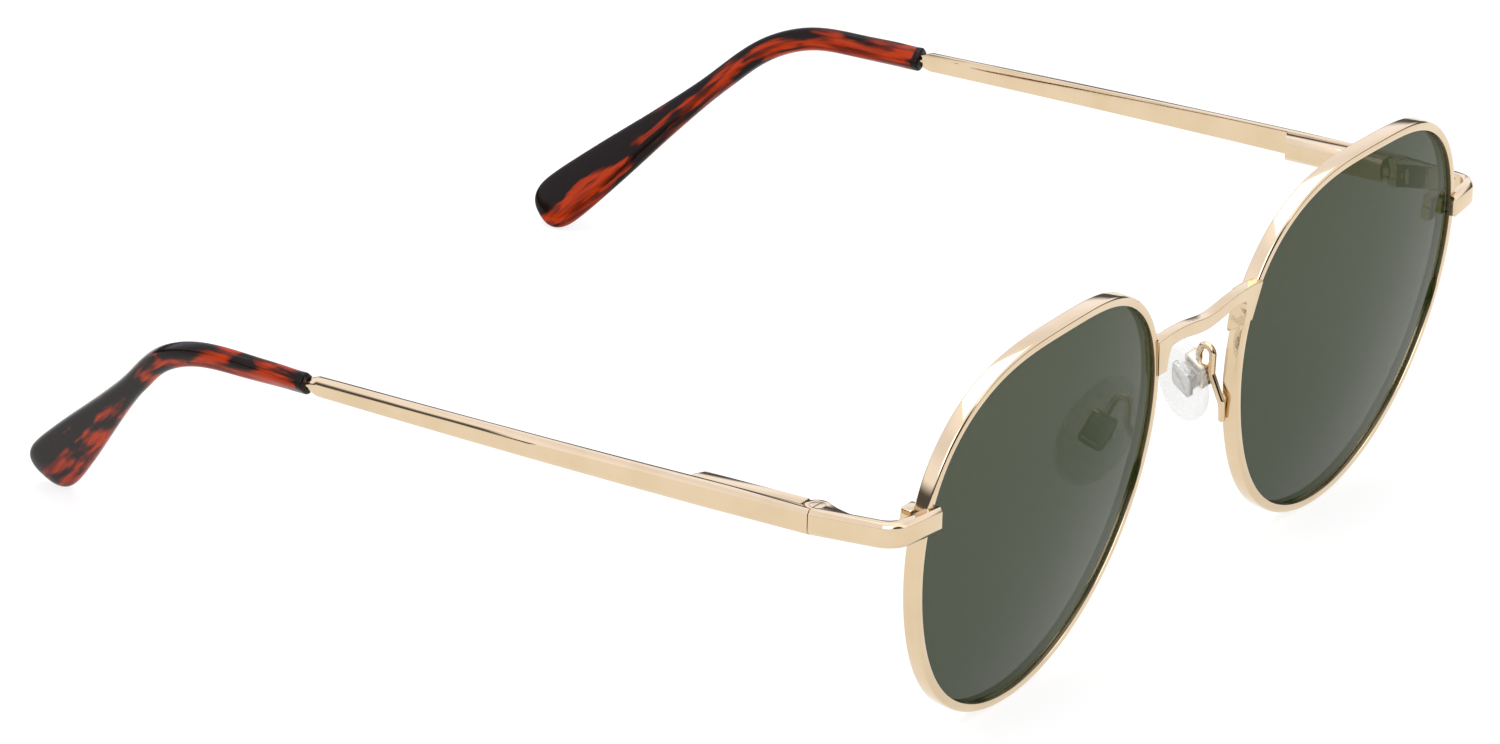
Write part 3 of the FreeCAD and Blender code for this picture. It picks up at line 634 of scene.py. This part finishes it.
@dataclass
class NosePads:
    """Arms, boxes, screws, cores and clear pads."""

    dresser: Dresser
    box_round: float = 0.07 * MM

    def build(self) -> None:
        """Makes the pad set of each side."""
        for side in Side:
            start = side.value + "_"
            body = start + "pad"
            self.dresser.metal(start + "pad_arm", start + "arm_wire", "front")
            self.dresser.metal(start + "pad_box", start + "pad_case", "front", self.box_round)
            self.dresser.paint_node(start + "pad_screw", "screw_steel")
            core = Workshop.shape(start + "nose_pad_core", start + "pad_core_plate", self.box_round)
            self.dresser.hand_over(core, body, "core_metal", "pad_core", start + "nose_pad_core")
            pad = Workshop.shape(start + "nose_pad", start + "clear_nose_pad")
            self.dresser.hand_over(pad, body, "resin", "clear_pad", start + "nose_pad")


@dataclass
class TipPlaces:
    """Distances along and across a tip cover, which runs straight, round a bend and straight again."""

    bend_radius: float = 17.2 * MM
    mouth_depth: float = 0.5 * MM
    first_stretch: Pair = (8 * MM, 9 * MM)
    far_stretch: Pair = (26 * MM, 30 * MM)
    close_stretch: Pair = (12 * MM, 16 * MM)

    @staticmethod
    def middle(points: np.ndarray, distances: np.ndarray, stretch: Pair) -> np.ndarray:
        """The mean of the points whose distances lie in a stretch."""
        return points[(distances > stretch[0]) & (distances < stretch[1])].mean(0)

    def measure(self, points: np.ndarray) -> np.ndarray:
        """Distances of points on a tip cover.

        Args:
            points: the points, in metres.

        Returns:
            For each point the distance along the tip, outwards across it and sideways, in millimetres.
        """
        from_front = points[:, 1] - points[:, 1].min()
        mouth = points[from_front < self.mouth_depth].mean(0)
        first = self.middle(points, from_front, self.first_stretch) - mouth
        first /= np.linalg.norm(first)
        end = points[np.argmax(np.linalg.norm(points - mouth, axis=1))]
        from_end = np.linalg.norm(points - end, axis=1)
        far = self.middle(points, from_end, self.far_stretch)
        last = self.middle(points, from_end, self.close_stretch) - far
        last /= np.linalg.norm(last)
        turn = float(first @ last)
        angle = math.acos(turn)
        setback = self.bend_radius * math.tan(angle / 2)
        reach = float((far - mouth) @ first - ((far - mouth) @ last) * turn) / (1 - turn * turn)
        corner = mouth + first * reach
        bend_start = corner - first * setback
        inward = last - first * turn
        inward /= np.linalg.norm(inward)
        centre = bend_start + inward * self.bend_radius
        sideways = np.cross(first, inward)
        offset = points - centre
        after = points - (corner + last * setback)
        swept = np.arctan2(offset @ first, -(offset @ inward))
        straight = reach - setback
        radius = np.hypot(offset @ first, offset @ inward)
        stretches = [swept < 0, swept > angle]
        along_first = (points - mouth) @ first
        along_last = straight + angle * self.bend_radius + after @ last
        along = np.select(stretches, [along_first, along_last], straight + swept * self.bend_radius)
        across_first = -((points - bend_start) @ inward)
        across_last = after @ np.cross(last, sideways)
        across = np.select(stretches, [across_first, across_last], radius - self.bend_radius)
        return np.stack([along, across, offset @ sideways], 1) / MM


@dataclass
class Temples:
    """Hinges, temple bars and tip covers."""

    dresser: Dresser
    places: TipPlaces = field(default_factory=TipPlaces)
    bar_round: float = 0.30 * MM
    housing_round: float = 0.12 * MM
    screw_round: float = 0.04 * MM

    def build(self) -> None:
        """Makes the temple of each side."""
        for side in Side:
            start = side.value + "_"
            body = start + "temple"
            self.dresser.metal(start + "temple_bar", start + "temple_strip", body, self.bar_round)
            self.dresser.metal(start + "spring_housing", start + "hinge_shell", body, self.housing_round)
            self.dresser.metal(start + "hinge_plunger", start + "hinge_tongue", start + "plunger",
                               self.screw_round)
            screw = Workshop.shape(start + "hinge_screw", start + "hinge_pin", self.screw_round)
            self.dresser.hand_over(screw, "front", "screw_steel", "screw_steel", start + "hinge_screw")
            for inner in ("retaining_pin", "spring_stop"):
                self.dresser.paint_node(start + inner, "screw_steel")
            self.dresser.paint_node(start + "hinge_spring", "spring_steel")
            tip = Workshop.shape(start + "tip_cover", start + "tip_sleeve")
            self.store_places(tip)
            self.dresser.hand_over(tip, body, start + "tortoiseshell", "tortoiseshell", start + "tip_cover")

    def store_places(self, tip: bpy.types.Object) -> None:
        """Stores each vertex's distances along and across the tip, for its pattern.

        Args:
            tip: a tip cover.
        """
        mesh = tip.data
        points = np.empty(len(mesh.vertices) * 3)
        mesh.vertices.foreach_get("co", points)
        places = self.places.measure(points.reshape(-1, 3))
        layer = mesh.attributes.new("tip_place", "FLOAT_VECTOR", "POINT")
        layer.data.foreach_set("vector", places.ravel())


# ---------------------------------------------------------------- studio

@dataclass
class Studio:
    """White floor, white surroundings, soft lamps and the camera."""

    floor_half: float = 3.0
    floor_tone: Triple = (0.80, 0.80, 0.80)
    floor_shadow: Triple = (0.30, 0.30, 0.30)
    floor_glow: float = 0.78
    aim: Triple = (-3.40 * MM, -2.77 * MM, 13.53 * MM)
    azimuth: float = -58.82
    elevation: float = 22.54
    roll: float = 2.88
    distance: float = 1.1082
    lens_mm: float = 221.4
    sensor_mm: float = 36.0
    shift: Pair = (0.0035, 0.0081)
    clip: Pair = (0.05, 50.0)
    fill: float = 0.78
    tent: float = 1.30
    tent_fall: Pair = (0.40, 0.65)
    tent_loss: float = 0.15
    overhead: Pair = (0.70, 0.90)
    overhead_gain: float = 0.25
    band_start: Pair = (-0.02, 0.02)
    band_end: Pair = (0.14, 0.30)
    band_depth: float = 0.92
    card_direction: Triple = (-0.38, -0.87, 0.30)
    card_edges: Pair = (0.885, 0.915)
    card_depth: float = 0.95
    glow_edges: Pair = (0.72, 0.88)
    glow_gain: float = 0.5
    cool_tint: Triple = (0.98, 1.0, 1.12)
    cool_heights: Pair = (0.1, 0.3)

    def build(self) -> None:
        """Makes the studio."""
        self.floor()
        self.world()
        self.lamp("top_softbox", (0.1, 0.1, 1.1), 1.0, 5.0)
        self.lamp("side_softbox", (-1.0, -0.6, 0.8), 0.7, 3.0)
        self.camera()
        bpy.context.scene.view_settings.view_transform = "Standard"

    @staticmethod
    def ray(graph: Graph, *kinds: str) -> Socket:
        """1 on rays of any of the given kinds, such as Camera.

        Args:
            graph: the graph that asks.
            kinds: the kinds of ray.

        Returns:
            1 or 0.
        """
        path = graph.node("ShaderNodeLightPath")
        found = graph.out(path, "Is " + kinds[0] + " Ray")
        for kind in kinds[1:]:
            found = found.maximum(graph.out(path, "Is " + kind + " Ray"))
        return found

    def floor(self) -> None:
        """A wide white floor that keeps a soft shadow."""
        bpy.ops.object.select_all(action="DESELECT")
        bpy.ops.mesh.primitive_plane_add(size=2 * self.floor_half, location=(0, 0, CAD_BOX[0].z))
        plane = bpy.context.active_object
        plane.name = "studio_floor"
        material = bpy.data.materials.new("white_floor")
        graph = Graph(material)
        plain = graph.node("ShaderNodeBsdfDiffuse", {}, {"Color": (*self.floor_tone, 1.0)})
        shaded = graph.node("ShaderNodeBsdfDiffuse", {}, {"Color": (*self.floor_shadow, 1.0)})
        glow = graph.node("ShaderNodeEmission", {}, {"Strength": self.floor_glow})
        bright = graph.node("ShaderNodeAddShader", {}, {0: graph.out(shaded), 1: graph.out(glow)})
        seen = self.ray(graph, "Camera", "Glossy", "Transmission")
        mixed = graph.node("ShaderNodeMixShader", {}, {0: seen, 1: graph.out(plain), 2: graph.out(bright)})
        graph.node("ShaderNodeOutputMaterial", {}, {"Surface": graph.out(mixed)})
        plane.data.materials.append(material)

    def world(self) -> None:
        """White tent with a dark band near the horizon and a black card, for the metal to show."""
        world = bpy.data.worlds.new("white_tent")
        bpy.context.scene.world = world
        graph = Graph(world)
        directions = graph.axes(graph.out(graph.node("ShaderNodeTexCoord"), "Generated"))
        height = directions[2]
        card_axis = Vector(self.card_direction).normalized()
        towards_card = sum((part * share for part, share in zip(directions, card_axis)), 0.0)
        glossy = self.ray(graph, "Glossy")
        open_ray = self.ray(graph, "Camera", "Transmission")
        band = height.step(*self.band_start) * (1 - height.step(*self.band_end))
        card = towards_card.step(*self.card_edges)
        glow = towards_card.step(*self.glow_edges) * (1 - card)
        tent = self.tent - height.step(*self.tent_fall) * self.tent_loss
        tent = tent + height.step(*self.overhead) * self.overhead_gain
        shown = (tent + glow * self.glow_gain) * (1 - band * self.band_depth) * (1 - card * self.card_depth)
        plain = open_ray + (1 - open_ray) * self.fill
        strength = plain * (1 - glossy) + shown * glossy
        colour = graph.blend(glossy * height.step(*self.cool_heights), WHITE, self.cool_tint)
        back = graph.node("ShaderNodeBackground", {}, {"Color": colour, "Strength": strength})
        graph.node("ShaderNodeOutputWorld", {}, {"Surface": graph.out(back)})

    @staticmethod
    def lamp(name: str, place: Triple, size: float, power: float) -> None:
        """One soft square lamp that faces the part.

        Args:
            name: the lamp's name.
            place: where it hangs.
            size: its side.
            power: its power in watts.
        """
        data = bpy.data.lights.new(name, "AREA")
        data.size = size
        data.energy = power
        lamp = bpy.data.objects.new(name, data)
        bpy.context.scene.collection.objects.link(lamp)
        lamp.location = place
        lamp.rotation_mode = "QUATERNION"
        lamp.rotation_quaternion = (-Vector(place)).to_track_quat("-Z", "Y")

    def camera(self) -> None:
        """The camera, in front of the lenses, to one side and a little above."""
        data = bpy.data.cameras.new("camera")
        data.lens = self.lens_mm
        data.sensor_width = self.sensor_mm
        data.shift_x, data.shift_y = self.shift
        data.clip_start, data.clip_end = self.clip
        camera = bpy.data.objects.new("camera", data)
        bpy.context.scene.collection.objects.link(camera)
        turn, rise, tilt = (math.radians(angle) for angle in (self.azimuth, self.elevation, self.roll))
        back = Vector((math.sin(turn) * math.cos(rise), -math.cos(turn) * math.cos(rise), math.sin(rise)))
        right = Vector((0, 0, 1)).cross(back).normalized()
        up = back.cross(right)
        rolled_right = right * math.cos(tilt) + up * math.sin(tilt)
        rolled_up = up * math.cos(tilt) - right * math.sin(tilt)
        place = Vector(self.aim) + back * self.distance
        camera.matrix_world = Matrix([(*row, 1.0) if index == 3 else (*row, 0.0) for index, row in
                                      enumerate((rolled_right, rolled_up, back, place))]).transposed()
        bpy.context.scene.camera = camera


def main() -> None:
    """Builds the looks in order."""
    logging.basicConfig(level=logging.INFO, format="%(message)s")
    dresser = Dresser({
        "gold": GoldPlate().build(),
        "screw_steel": TurnedSteel("plated_screw", (0.72, 0.60, 0.44)).build(),
        "core_metal": TurnedSteel("bright_core_metal", (0.78, 0.77, 0.74), 0.16).build(),
        "spring_steel": TurnedSteel("spring_wire_steel", (0.42, 0.42, 0.43)).build(),
        "lens": SmokedLens().build(),
        "resin": ClearResin().build(),
        "left_tortoiseshell": Tortoiseshell("left_tortoiseshell", (5.3, 0.9, 1.0)).build(),
        "right_tortoiseshell": Tortoiseshell("right_tortoiseshell", (12.2, 2.6, 4.1)).build(),
    })
    Front(dresser).build()
    NosePads(dresser).build()
    Temples(dresser).build()
    Studio().build()


if __name__ == "__main__":
    main()
